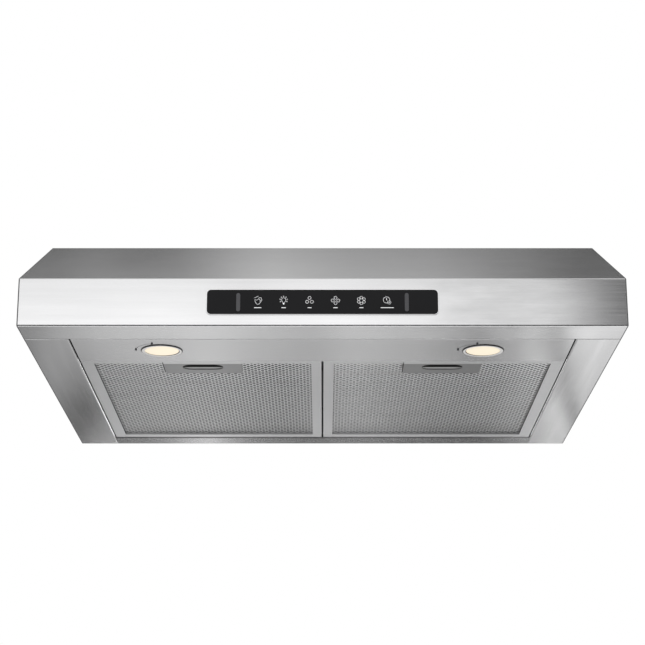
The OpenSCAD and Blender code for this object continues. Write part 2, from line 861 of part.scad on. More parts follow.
// Rounded ring below the panel, its neck and three lugs above the panel
module lamp_bezel(side) {
    low = panel_z - bezel_drop;
    high = panel_z - 0.05;
    corner = 0.5;
    neck_r = 18.7;
    lug_z = panel_top + 0.4;
    color(steel) translate([side * lamp_x, lamp_y, 0]) {
        rotate_extrude($fn = 96) polygon(concat(
            [[lens_r + 0.1, high], [lens_r + 0.1, low + 0.3], [lens_r + 0.4, low]],
            arc([bezel_r - corner, low + corner], corner, 270, 360),
            [[bezel_r, high]]));
        tube(neck_r, lens_r + 0.1, high - 0.01, panel_top + 8);
        for (i = [0:2]) rotate([0, 0, i * 120])
            intersection() {
                tube(lamp_hole_r + 1.8, neck_r - 0.3, lug_z, lug_z + 1.8);
                block([10, -3, lug_z - 1], [25, 3, lug_z + 3]);
            }
    }
}

module lamp_lens(side) {
    color(warm_white) translate([side * lamp_x, lamp_y, panel_z - bezel_drop + 0.3])
        cylinder(r = lens_r, h = 2.6, $fn = 96);
}

// ---------------------------------------------------------------- grease filters

// Frame of bent sheet: bottom and top flanges, a wall round the outside, a return lip round the
// opening and two tabs that rest on the rear rail
module filter_frame(side) {
    lo = [filt_x0, filt_y0 + 0.5];
    hi = [filt_x1, filt_y1 - 0.2];
    in_lo = [mesh_x0, mesh_y0];
    in_hi = [mesh_x1, mesh_y1];
    t = frame_t;
    color(alloy) on_side(side) difference() {
        union() {
            intersection() {
                union() {
                    ring_plate(lo, hi, in_lo, in_hi, filt_z, filt_z + t);
                    ring_plate(lo, hi, lo + [t, t], hi - [t, t], filt_z, filt_top);
                }
                along_x(lo.x, hi.x) hemmed([lo.y, filt_z], [hi.y, filt_top], 0, hem_r);
                along_y(lo.y, hi.y) hemmed([lo.x, filt_z], [hi.x, filt_top], hem_r, hem_r);
            }
            ring_plate(lo, hi, in_lo, in_hi, filt_top - t, filt_top);
            difference() {
                ring_plate(in_lo - [t, t], in_hi + [t, t], in_lo, in_hi, filt_z, filt_z + mesh_rise);
                at_handle(mesh_y0 - 2, mesh_y0 + 1, filt_z + t);
            }
            for (x = [mesh_x0 + 40, mesh_x1 - 40])
                block([x - tab_w / 2, hi.y - t, bot_z + sheet + 0.3],
                      [x + tab_w / 2, filt_y1 + tab_reach, bot_z + sheet + 1.3]);
        }
        along_x(in_lo.x, in_hi.x) translate([in_hi.y, filt_z]) roll_cut(t / 2);
        difference() {
            along_x(in_lo.x, in_hi.x) translate([in_lo.y, filt_z]) mirror([1, 0]) roll_cut(hem_r);
            at_handle(mesh_y0 - 3, mesh_y0 + 3, filt_z - 2);
        }
        block([handle_x - tongue_w / 2 - 0.5, lo.y - 1, tongue_z - 0.3],
              [handle_x + tongue_w / 2 + 0.5, lo.y + t + 1, tongue_z + tongue_t + 0.3]);
    }
}

// Space over the width of the handle plate
module at_handle(y0, y1, z0) {
    block([handle_x - handle_w / 2 - 1, y0, z0], [handle_x + handle_w / 2 + 1, y1, filt_z + 5]);
}

// Plan outline of the mesh held in a filter frame, with a notch for the latch housing
module filter_plan(inset) {
    difference() {
        translate([filt_x0 + inset, filt_y0 + 0.5 + inset])
            square([filt_x1 - filt_x0 - 2 * inset, filter_d - 0.7 - 2 * inset]);
        translate([handle_x - handle_w / 2 - notch_gap, filt_y0 - 1])
            square([handle_w + 2 * notch_gap, handle_y1 + notch_gap - filt_y0 + 1]);
    }
}

module filter_mesh(side) {
    color(alloy) on_side(side) translate([0, 0, filt_z + mesh_rise])
        linear_extrude(0.8) filter_plan(frame_t + 0.1);
}

// Pleated inner layer: a zigzag sheet that fills the frame from the mesh to the top flange
module filter_core(side) {
    low = filt_z + mesh_rise + 0.8;
    layer = 0.7;
    rise = filt_top - frame_t - low - layer;
    y0 = filt_y0 + frame_t + 0.6;
    y1 = filt_y1 - frame_t - 0.3;
    fold = [for (i = [0:pleats]) [y0 + (y1 - y0) * i / pleats, low + (i % 2) * rise]];
    color(galvanised) on_side(side) difference() {
        along_x(filt_x0 + frame_t + 0.1, filt_x1 - frame_t - 0.1) polygon(concat(
            fold, [for (i = [pleats:-1:0]) fold[i] + [0, layer]]));
        translate([handle_x - handle_w / 2 - notch_gap, filt_y0 - 1, low - 1])
            cube([handle_w + 2 * notch_gap, handle_y1 + notch_gap - filt_y0 + 1, filter_t]);
    }
}

// Shallow box behind the handle plate: it holds the slider and the spring
module latch_housing(side) {
    w = handle_w / 2;
    t = handle_t;
    top = filt_top - 1.2;
    strap_x = 8;
    strap_w = 10;
    color(alloy) on_side(side) translate([handle_x, 0, 0]) difference() {
        union() {
            translate([0, 0, filt_z]) linear_extrude(top - filt_z) handle_outline(w);
            for (x = [strap_x - w, w - strap_x - strap_w])
                block([x, filt_y0 + 4, filt_z + frame_t],
                    [x + strap_w, mesh_y0 + 1, filt_z + frame_t + 1]);
        }
        block([-w + t, mesh_y0 - 1, filt_z + t], [w - t, handle_y1 - t, top - t]);
        translate([0, slot_y, filt_z - 1]) linear_extrude(t + 2) stadium(slot_l, slot_w);
    }
}

// Plan of the handle plate, with its two rear corners rounded
module handle_outline(w) {
    translate([-w, mesh_y0]) square([2 * w, handle_d - handle_r]);
    translate([-w + handle_r, mesh_y0]) square([2 * (w - handle_r), handle_d]);
    for (x = [-1, 1]) translate([x * (w - handle_r), handle_y1 - handle_r]) circle(handle_r);
}

slider_w = 26;
slider_low = filt_z + handle_t + 0.3;

// Slider: a tongue, a front crosspiece, two arms beside the slot, a rear bar that pushes the
// spring and a pull plate over the rear of the slot with its front edge folded up
module latch_slider(side) {
    cross_y = mesh_y0 + 0.5;
    cross_d = 2.6;
    arm = 3.5;
    bar_d = 1.6;
    pull_y = slot_y + 3.2;
    pull_x = slot_l / 2 + 1;
    pull_t = 0.9;
    lip = 3.4;
    top = tongue_z + tongue_t;
    tip = filt_y0 + 0.5 - tongue_reach;
    color(dark) on_side(side) translate([handle_x, 0, 0]) {
        block([-slider_w, cross_y, slider_low], [slider_w, cross_y + cross_d, top]);
        for (x = [-slider_w, slider_w - arm])
            block([x, cross_y, slider_low], [x + arm, slider_back, slider_low + 2.7]);
        block([-slider_w, slider_back - bar_d, slider_low], [slider_w, slider_back, top]);
        block([-pull_x, pull_y, slider_low], [pull_x, slider_back, slider_low + pull_t]);
        block([-pull_x, pull_y, slider_low], [pull_x, pull_y + pull_t, slider_low + lip]);
        along_x(-tongue_w / 2, tongue_w / 2) polygon([
            [cross_y + 1, tongue_z], [tip + 2, tongue_z], [tip, tongue_z + 1.8],
            [tip, top], [cross_y + 1, top]]);
    }
}

// Zigzag leaf spring between the slider and the rear of the housing
module latch_spring(side) {
    folds = 5;
    half = 9;
    leaf = 0.6;
    y0 = slider_back + 0.1;
    y1 = handle_y1 - handle_t - 0.1;
    pitch = (y1 - y0 - leaf) / folds;
    color(galvanised) on_side(side) translate([handle_x, 0, slider_low + 0.2]) {
        for (i = [0:folds]) block([-half, y0 + i * pitch, 0], [half, y0 + i * pitch + leaf, 3]);
        for (i = [0:folds - 1]) {
            x = i % 2 == 0 ? half - leaf : -half;
            block([x, y0 + i * pitch, 0], [x + leaf, y0 + (i + 1) * pitch + leaf, 3]);
        }
    }
}

// ---------------------------------------------------------------- nodes

top_panel();
front_wrap();
side_panel(-1);  // side_panel_left
side_panel(1);  // side_panel_right
back_panel();
underside_frame();
light_panel();
rear_rail();
front_baffle();
duct_collar();
damper_pins();
damper_flap(-1);  // damper_flap_front
damper_flap(1);  // damper_flap_rear
control_glass();
gesture_windows();
control_board();
control_carrier();
blower_shell();
blower_floor();
inlet_grille();
discharge_box();
motor_plate();
stator_core();
stator_windings();
motor_bearings();
rotor_can();
motor_shaft();
impeller();
blower_spacers();
rubber_bushes();
blower_screws();
motor_screws();
casing_screws();
wiring_box();
wiring_cover();
terminal_block();
power_board();
led_driver();
run_capacitor();
cable_grommet();
wiring_harness();
led_modules();
lamp_brackets();
lamp_bezel(-1);  // lamp_bezel_left
lamp_bezel(1);  // lamp_bezel_right
lamp_lens(-1);  // lamp_lens_left
lamp_lens(1);  // lamp_lens_right
filter_frame(-1);  // filter_frame_left
filter_frame(1);  // filter_frame_right
filter_mesh(-1);  // filter_mesh_left
filter_mesh(1);  // filter_mesh_right
filter_core(-1);  // filter_core_left
filter_core(1);  // filter_core_right
latch_housing(-1);  // latch_housing_left
latch_housing(1);  // latch_housing_right
latch_slider(-1);  // latch_slider_left
latch_slider(1);  // latch_slider_right
latch_spring(-1);  // latch_spring_left
latch_spring(1);  // latch_spring_right
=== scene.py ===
"""Looks of the under cabinet range hood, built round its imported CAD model.

Pieces are laid out in millimetres and scaled by MM. Textures, light cards and the camera are in metres.
"""

import json
import math

import bpy
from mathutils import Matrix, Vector

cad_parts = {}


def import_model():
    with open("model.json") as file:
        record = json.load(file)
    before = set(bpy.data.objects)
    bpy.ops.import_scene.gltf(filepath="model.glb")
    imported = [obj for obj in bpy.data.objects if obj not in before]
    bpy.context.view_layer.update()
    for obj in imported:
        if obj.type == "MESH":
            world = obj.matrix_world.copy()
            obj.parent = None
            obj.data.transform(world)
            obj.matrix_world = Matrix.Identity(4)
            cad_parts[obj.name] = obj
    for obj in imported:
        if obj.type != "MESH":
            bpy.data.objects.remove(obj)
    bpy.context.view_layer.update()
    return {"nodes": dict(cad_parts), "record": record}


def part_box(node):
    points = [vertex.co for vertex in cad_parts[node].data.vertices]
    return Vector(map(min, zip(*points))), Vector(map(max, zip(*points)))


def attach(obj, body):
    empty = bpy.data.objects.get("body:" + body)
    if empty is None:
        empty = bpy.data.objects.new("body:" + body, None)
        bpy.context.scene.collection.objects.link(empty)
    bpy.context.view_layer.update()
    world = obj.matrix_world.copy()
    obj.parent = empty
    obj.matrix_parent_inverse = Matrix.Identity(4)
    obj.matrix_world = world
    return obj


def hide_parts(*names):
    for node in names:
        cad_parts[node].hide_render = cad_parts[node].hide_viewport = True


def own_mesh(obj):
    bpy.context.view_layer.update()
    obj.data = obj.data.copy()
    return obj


MM = 0.001
SIDES = ("left", "right")
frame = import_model()
nodes = frame["nodes"]


def box_mm(node):
    """Lowest and highest corner of a CAD node in millimetres."""
    low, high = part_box(node)
    return low * 1000, high * 1000


# ---------------------------------------------------------------- materials


def add(tree, kind, settings=None, **inputs):
    """A new node; a socket's name has _ for each space."""
    made = tree.nodes.new(kind)
    for key, value in (settings or {}).items():
        setattr(made, key, value)
    for key, value in inputs.items():
        put(tree, made.inputs[key.replace("_", " ")], value)
    return made


def put(tree, socket, value):
    """Links another node's output to the socket, or sets a plain value."""
    if isinstance(value, bpy.types.NodeSocket):
        tree.links.new(value, socket)
    else:
        socket.default_value = value


def calc(tree, operation, a, b=0.0):
    """The result of one sum."""
    made = tree.nodes.new("ShaderNodeMath")
    made.operation = operation
    put(tree, made.inputs[0], a)
    put(tree, made.inputs[1], b)
    return made.outputs[0]


def remap(tree, value, low, high, to_low, to_high, smooth=False):
    """value carried from the range low..high to to_low..to_high, and held at its ends."""
    kind = "SMOOTHSTEP" if smooth else "LINEAR"
    made = add(tree, "ShaderNodeMapRange", {"interpolation_type": kind}, Value=value,
               From_Min=low, From_Max=high, To_Min=to_low, To_Max=to_high)
    return made.outputs[0]


def spread(tree, value, to_low, to_high):
    """A noise's usual values carried to the range to_low..to_high."""
    return remap(tree, value, 0.3, 0.7, to_low, to_high)


def ramp(tree, value, stops, top=2.0):
    """A smooth curve through (position, height) stops; heights stay under top."""
    low, high = stops[0][0], stops[-1][0]
    made = add(tree, "ShaderNodeValToRGB", Fac=remap(tree, value, low, high, 0, 1))
    made.color_ramp.interpolation = "CARDINAL"
    elements = made.color_ramp.elements
    for i, (position, height) in enumerate(stops):
        at = (position - low) / (high - low)
        element = elements[i] if i < 2 else elements.new(at)
        element.position = at
        element.color = (height / top, height / top, height / top, 1)
    return calc(tree, "MULTIPLY", made.outputs[0], top)


def mixed(tree, a, b, share):
    """a where share is 0, b where it is 1."""
    return add(tree, "ShaderNodeMix", Factor=share, A=a, B=b).outputs[0]


def tint(tree, rgb, factor):
    """rgb scaled by a varying factor."""
    made = add(tree, "ShaderNodeVectorMath", {"operation": "SCALE"})
    made.inputs[0].default_value = rgb
    put(tree, made.inputs["Scale"], factor)
    return made.outputs[0]


def start(name, rgb, rough, metal=0.0, **sockets):
    """A new material with plain values; a socket's name has _ for each space."""
    material = bpy.data.materials.new(name)
    material.use_nodes = True
    tree = material.node_tree
    shader = tree.nodes["Principled BSDF"]
    shader.inputs["Base Color"].default_value = (*rgb, 1)
    shader.inputs["Roughness"].default_value = rough
    shader.inputs["Metallic"].default_value = metal
    for key, value in sockets.items():
        shader.inputs[key.replace("_", " ")].default_value = value
    return material, tree, shader


def places(tree):
    """Each point's place on its own piece, in metres."""
    return add(tree, "ShaderNodeTexCoord").outputs["Object"]


def noise(tree, coords, scale, detail=2.0, stretch=(1, 1, 1)):
    """Noise, finer along an axis whose stretch is larger."""
    mapped = add(tree, "ShaderNodeMapping", Vector=coords, Scale=stretch)
    made = add(tree, "ShaderNodeTexNoise", Vector=mapped.outputs[0], Scale=scale, Detail=detail,
               Roughness=0.55)
    return made.outputs["Fac"]


def finish_surface(tree, shader, rgb, tone, rough, bump, height):
    """Links colour, roughness and bump; height is the bump's depth in metres."""
    put(tree, shader.inputs["Base Color"], tint(tree, rgb, tone))
    put(tree, shader.inputs["Roughness"], rough)
    relief = add(tree, "ShaderNodeBump", Height=bump, Distance=height)
    relief.inputs["Strength"].default_value = 1.0
    put(tree, shader.inputs["Normal"], relief.outputs[0])


# For each brushing axis, how much finer the noise is along x, y and z, and a direction across the lines
FINE = 130
DIAGONAL = math.sqrt(0.5)
GRAINS = {
    "x": ((1, FINE, FINE), (0, DIAGONAL, DIAGONAL)),
    "y": ((FINE, 1, FINE), (DIAGONAL, 0, DIAGONAL)),
    "z": ((FINE, FINE, 1), (DIAGONAL, DIAGONAL, 0)),
}


def brushed(name, rgb, rough, grain="x", aniso=0.8, cloud=0.03, lines=0.02, metal=1.0, tone_and_painted_light=None):
    """Sheet steel or aluminium, brushed along an axis. A function given last scales the tone with streaks,
    painted shade and painted reflection.
    """
    material, tree, shader = start(name, rgb, rough, metal, Anisotropic=aniso)
    coords = places(tree)
    stretch, across = GRAINS[grain]
    fine = noise(tree, coords, 14, 3, stretch)
    coarse = noise(tree, coords, 3.2, 4, tuple(0.35 * s if s > 1 else s for s in stretch))
    clouds = noise(tree, coords, 5, 3)
    tone = calc(tree, "ADD", spread(tree, fine, 1 - lines, 1 + lines),
                spread(tree, clouds, -cloud, cloud))
    tone = calc(tree, "ADD", tone, spread(tree, coarse, -lines, lines))
    # The tone is scaled by streaks, painted shade and painted reflection
    if tone_and_painted_light:
        tone = calc(tree, "MULTIPLY", tone, tone_and_painted_light(tree, coords))
    rough_map = calc(tree, "ADD", spread(tree, fine, rough - 0.04, rough + 0.04),
                     spread(tree, clouds, -0.03, 0.03))
    finish_surface(tree, shader, rgb, tone, rough_map, fine, 0.000008)
    tangent = add(tree, "ShaderNodeCombineXYZ", X=across[0], Y=across[1], Z=across[2])
    put(tree, shader.inputs["Tangent"], tangent.outputs[0])
    return material


# Heights of the fold between the slope and the face, and of the face's lower fold
FOLD_Z = -0.1035
HEM_Z = -0.150


def canopy_painted_reflection(tree, coords):
    """Painted reflection: the slope darkens towards the top and the face towards its top, the face is lighter
    below its lower fold (painted highlight), and the right of the face has painted reflection clouds.
    """
    x, _, z = add(tree, "ShaderNodeSeparateXYZ", Vector=coords).outputs
    # Painted reflection: darker towards the top of the slope and of the face
    slope = remap(tree, z, -0.100, -0.004, 1.27, 0.90)
    face = remap(tree, z, -0.148, -0.106, 1.09, 0.95)
    tone = mixed(tree, face, slope, remap(tree, z, FOLD_Z - 0.001, FOLD_Z + 0.001, 0, 1))
    # Painted highlight: lighter below the face's lower fold
    tone = mixed(tree, 1.16, tone, remap(tree, z, HEM_Z - 0.0005, HEM_Z + 0.0005, 0, 1))
    # Painted reflection: lighter and darker clouds, strongest on the right of the face
    reflection_clouds = noise(tree, coords, 11, 4, (1, 1, 4))
    reach = remap(tree, x, 0.07, 0.14, 0.02, 0.12, True)
    reach = calc(tree, "MULTIPLY", reach, remap(tree, z, -0.112, -0.098, 1, 0.35))
    clouds = calc(tree, "MULTIPLY", spread(tree, reflection_clouds, -1, 1), reach)
    return calc(tree, "ADD", tone, clouds)


def facing(tree, axis):
    """How squarely the surface looks along an axis, from 0 to 1."""
    normal = add(tree, "ShaderNodeTexCoord").outputs["Normal"]
    parts = add(tree, "ShaderNodeSeparateXYZ", Vector=normal).outputs
    return calc(tree, "ABSOLUTE", parts["XYZ".index(axis)])


def painted_shade_edges(axis):
    """Painted shade: the edges and walls of a sheet whose faces look along the axis are darker."""
    def tone_and_painted_light(tree, coords):
        return remap(tree, facing(tree, axis), 0.45, 0.95, 0.16, 1, True)
    return tone_and_painted_light


def shaded_walls(tree, coords):
    """Painted shade: the filter frames' walls that face sideways are darker."""
    return remap(tree, facing(tree, "X"), 0.35, 0.8, 1, 0.10, True)


def along_x(stops, rear=1.0):
    """Tone that follows stops along the width, and is scaled by rear towards the back."""
    def tone_and_painted_light(tree, coords):
        x, y, _ = add(tree, "ShaderNodeSeparateXYZ", Vector=coords).outputs
        return calc(tree, "MULTIPLY", ramp(tree, x, stops), remap(tree, y, -0.20, 0.10, 1, rear))
    return tone_and_painted_light


def strip_wear(tree, coords):
    """Streaks along the side strips."""
    streaks = noise(tree, coords, 26, 2, (1, 0.06, 1))
    return remap(tree, streaks, 0.32, 0.68, 0.84, 1.14)


def spangled(name, rgb, rough=0.42):
    """Zinc coated sheet with faint crystals."""
    material, tree, shader = start(name, rgb, rough, 1.0)
    coords = places(tree)
    cells = add(tree, "ShaderNodeTexVoronoi", Vector=coords, Scale=170.0)
    value = add(tree, "ShaderNodeSeparateColor", Color=cells.outputs["Color"]).outputs[0]
    clouds = noise(tree, coords, 12, 3)
    tone = calc(tree, "ADD", remap(tree, value, 0, 1, 0.86, 1.05), spread(tree, clouds, -0.05, 0.05))
    rough_map = remap(tree, value, 0, 1, rough - 0.08, rough + 0.1)
    finish_surface(tree, shader, rgb, tone, rough_map, clouds, 0.00002)
    return material


def moulded(name, rgb, rough, **sockets):
    """Plastic or rubber with a fine moulded grain."""
    material, tree, shader = start(name, rgb, rough, 0.0, **sockets)
    coords = places(tree)
    grain = noise(tree, coords, 900, 2)
    clouds = noise(tree, coords, 14, 3)
    finish_surface(tree, shader, rgb, spread(tree, clouds, 0.92, 1.08),
                   spread(tree, clouds, rough - 0.04, rough + 0.04), grain, 0.00002)
    return material


def wound(name, rgb):
    """Enamelled winding wire."""
    material, tree, shader = start(name, rgb, 0.3, 1.0)
    coords = places(tree)
    wave = add(tree, "ShaderNodeTexWave", {"bands_direction": "Z"}, Vector=coords, Scale=420.0,
               Distortion=1.0)
    turns = wave.outputs["Fac"]
    finish_surface(tree, shader, rgb, remap(tree, turns, 0, 1, 0.55, 1.1),
                   remap(tree, turns, 0, 1, 0.45, 0.28), turns, 0.0002)
    return material


def circuit(name):
    """Green solder mask with copper runs under it."""
    rgb = (0.018, 0.12, 0.045)
    material, tree, shader = start(name, rgb, 0.35)
    coords = places(tree)
    cells = add(tree, "ShaderNodeTexVoronoi", {"distance": "MANHATTAN", "feature": "F1"},
                Vector=coords, Scale=260.0)
    tracks = cells.outputs["Distance"]
    finish_surface(tree, shader, rgb, remap(tree, tracks, 0.2, 0.6, 1.5, 0.8),
                   remap(tree, tracks, 0.2, 0.6, 0.3, 0.42), tracks, 0.00003)
    return material


def lit_lens():
    """Frosted lens lit from behind."""
    rgb = (0.16, 0.15, 0.13)
    material, tree, shader = start("lamp_lens", rgb, 0.35, 0.0, Specular_IOR_Level=0.3)
    coords = places(tree)
    frost = noise(tree, coords, 1600, 2)
    clouds = noise(tree, coords, 60, 2)
    glow = tint(tree, (0.83, 0.735, 0.565), spread(tree, clouds, 0.97, 1.03))
    put(tree, shader.inputs["Emission Color"], glow)
    shader.inputs["Emission Strength"].default_value = 1.0
    finish_surface(tree, shader, rgb, spread(tree, frost, 0.9, 1.1),
                   spread(tree, frost, 0.3, 0.4), frost, 0.00001)
    return material


def glossy_black(name, rgb, rough, ior):
    """Printed glass, faintly uneven."""
    material, tree, shader = start(name, rgb, rough, 0.0, IOR=ior)
    coords = places(tree)
    clouds = noise(tree, coords, 9, 3)
    smears = noise(tree, coords, 40, 3, (1, 6, 6))
    finish_surface(tree, shader, rgb, spread(tree, clouds, 0.85, 1.15),
                   spread(tree, smears, rough - 0.02, rough + 0.04), smears, 0.000004)
    return material


def glowing(name, rgb, strength):
    """Icon ink with a backlight."""
    material, tree, shader = start(name, rgb, 0.5)
    coords = places(tree)
    clouds = noise(tree, coords, 300, 2)
    put(tree, shader.inputs["Emission Color"], tint(tree, rgb, spread(tree, clouds, 0.9, 1.1)))
    shader.inputs["Emission Strength"].default_value = strength
    return material


STEEL = (0.70, 0.70, 0.705)
# How bright the filters are, and the rail's painted reflection, from left to right
FILTER_BRIGHTNESS = [(-0.245, 0.36), (-0.209, 0.33), (-0.170, 0.26), (-0.125, 0.14), (-0.081, 0.05), (-0.036, 0.04),
         (-0.005, 0.5), (0.030, 0.90), (0.075, 0.66), (0.120, 0.28), (0.164, 0.05), (0.197, 0.14),
         (0.220, 0.45), (0.245, 0.5)]
RAIL_REFLECTION = [(-0.26, 0.70), (-0.238, 0.71), (-0.213, 0.85), (-0.151, 1.28), (-0.126, 1.25), (-0.04, 0.72),
             (0.046, 0.90), (0.120, 0.69), (0.194, 0.77), (0.225, 1.2), (0.244, 1.5), (0.26, 1.4)]
looks = {
    "stainless": brushed("stainless", STEEL, 0.20, "x", 0.6),
    "canopy": brushed("canopy", STEEL, 0.20, "x", 0.6, tone_and_painted_light=canopy_painted_reflection),
    # The rail's dark colour and its tone along the width are painted reflection
    "rail": brushed("rail", (0.28, 0.28, 0.283), 0.16, "x", 0.3, 0.0, 0.01, tone_and_painted_light=along_x(RAIL_REFLECTION)),
    "back": brushed("back", STEEL, 0.24, "x", 0.6, tone_and_painted_light=painted_shade_edges("Y")),
    "side_strips": brushed("side_strips", STEEL, 0.20, "y", 0.6, tone_and_painted_light=strip_wear),
    "polished": brushed("polished", (0.86, 0.86, 0.865), 0.12, "x", 0.0, 0.02, 0.01),
    "handle": brushed("handle", (0.285, 0.285, 0.288), 0.34, "x", 0.5),
    "blasted": brushed("blasted", (0.42, 0.42, 0.42), 0.5, "x", 0.0, metal=0.15),
    "sides": brushed("sides", STEEL, 0.20, "y", 0.6, tone_and_painted_light=painted_shade_edges("X")),
    "galvanised": spangled("galvanised", (0.55, 0.57, 0.59)),
    "aluminium": brushed("aluminium", (0.68, 0.68, 0.685), 0.34, "x", 0.5),
    "filter_frame": brushed("filter_frame", (0.66, 0.66, 0.665), 0.34, "x", 0.5, tone_and_painted_light=shaded_walls),
    # Painted shade: the mesh and its core darken towards the back, and the core is darkened so the holes show
    # dark
    "filter_mesh": brushed("filter_mesh", (0.82, 0.82, 0.825), 0.30, "x", 0.0, 0.05, 0.03,
                           tone_and_painted_light=along_x([(x, 1.04 + 0.17 * brightness) for x, brightness in FILTER_BRIGHTNESS], 0.84)),
    "filter_core": brushed("filter_core", (0.40, 0.40, 0.402), 0.5, "x", 0.0, 0.05, 0.03,
                           tone_and_painted_light=along_x([(x, 0.03 + brightness) for x, brightness in FILTER_BRIGHTNESS], 0.7)),
    "black_glass": glossy_black("black_glass", (0.008, 0.008, 0.009), 0.12, 1.22),
    "sensor_window": moulded("sensor_window", (0.075, 0.075, 0.08), 0.4, IOR=1.3),
    "circuit_board": circuit("circuit_board"),
    "black_plastic": moulded("black_plastic", (0.022, 0.022, 0.024), 0.45),
    "white_plastic": moulded("white_plastic", (0.74, 0.74, 0.71), 0.42),
    "laminations": brushed("laminations", (0.22, 0.22, 0.23), 0.45, "z", 0.4, 0.05, 0.2),
    "copper": wound("copper", (0.62, 0.24, 0.10)),
    "bearing_steel": brushed("bearing_steel", (0.70, 0.70, 0.72), 0.16, "z", 0.3, 0.02, 0.03),
    "zinc_plate": brushed("zinc_plate", (0.66, 0.67, 0.70), 0.26, "x", 0.0, 0.05, 0.04),
    "rubber": moulded("rubber", (0.016, 0.016, 0.016), 0.75),
    "cable_jacket": moulded("cable_jacket", (0.02, 0.02, 0.021), 0.55),
    "bezel": brushed("bezel", (0.05, 0.05, 0.052), 0.35, "x", 0.3, 0.02, 0.02),
    "lamp_lens": lit_lens(),
    "light_guide": moulded("light_guide", (0.80, 0.79, 0.77), 0.4),
}
icon_ink = glowing("icon_ink", (0.80, 0.81, 0.82), 0.45)
mark_ink = moulded("mark_ink", (0.05, 0.05, 0.055), 0.5)

slot_of = {s["node"]: s["material_slot"] for s in frame["record"]["subparts"]}
# Nodes whose look is not the one named by their slot
dressed = {"back_panel": "back", "rear_rail": "rail", "front_wrap": "canopy",
           "underside_frame": "side_strips"}
for side in SIDES:
    dressed["side_panel_" + side] = "sides"
    dressed["filter_core_" + side] = "filter_core"
    dressed["filter_frame_" + side] = "filter_frame"
    dressed["latch_housing_" + side] = "handle"
    dressed["latch_slider_" + side] = "blasted"
for name, node in nodes.items():
    node.data.materials.clear()
    node.data.materials.append(looks[dressed.get(name, slot_of[name])])

# ---------------------------------------------------------------- edges

# Widths of the softened edges in mm
soft_edges = {"front_wrap": 0.5, "underside_frame": 0.3, "light_panel": 0.3, "rear_rail": 0.3,
              "control_glass": 0.3, "gesture_windows": 0.15}
for side in SIDES:
    soft_edges["side_panel_" + side] = 0.45
    soft_edges["filter_frame_" + side] = 0.2
    soft_edges["latch_housing_" + side] = 0.25
    soft_edges["latch_slider_" + side] = 0.3
for name, width in soft_edges.items():
    node = nodes[name]
    weld = node.modifiers.new("weld", "WELD")
    weld.merge_threshold = 0.01 * MM
    plain = node.modifiers.new("plain", "DECIMATE")
    plain.decimate_type = "DISSOLVE"
    plain.angle_limit = math.radians(0.5)
    bevel = node.modifiers.new("bevel", "BEVEL")
    bevel.width = width * MM
    bevel.segments = 2
    bevel.limit_method = "ANGLE"
    bevel.angle_limit = math.radians(40)
    normals = node.modifiers.new("normals", "WEIGHTED_NORMAL")
    normals.keep_sharp = True

# ---------------------------------------------------------------- added pieces


def piece(name, verts, faces, material, body, slot):
    """A new piece, with its corners in metres, that moves with the body."""
    mesh = bpy.data.meshes.new(name)
    mesh.from_pydata(verts, [], faces)
    mesh.validate()
    mesh.update()
    mesh.materials.append(material)
    made = bpy.data.objects.new(name, mesh)
    bpy.context.scene.collection.objects.link(made)
    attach(made, body)
    return made


def polar(centre, r, degrees):
    """The point at a distance and an angle from the centre."""
    a = math.radians(degrees)
    return centre[0] + r * math.cos(a), centre[1] + r * math.sin(a)


def cuboid(name, low, high, material, body, slot):
    """A box from low to high in mm."""
    verts = [(x * MM, y * MM, z * MM) for x in (low[0], high[0]) for y in (low[1], high[1])
             for z in (low[2], high[2])]
    faces = [(0, 1, 3, 2), (4, 6, 7, 5), (0, 4, 5, 1), (2, 3, 7, 6), (0, 2, 6, 4), (1, 5, 7, 3)]
    return piece(name, verts, faces, material, body, slot)


# Expanded metal: a square net of strands set on its corners, with a rounded hole in each cell.
# A hole's half sizes are shares of the pitch, and its rim tilts up towards the rear.
PITCH_X, PITCH_Y = 7.42, 7.45
STRAND_T = 0.4
TILT = 0.336
HOLE_X, HOLE_Y = 0.27, 0.40
# How far the net runs in under the edge of a handle plate
UNDER_PLATE = 3


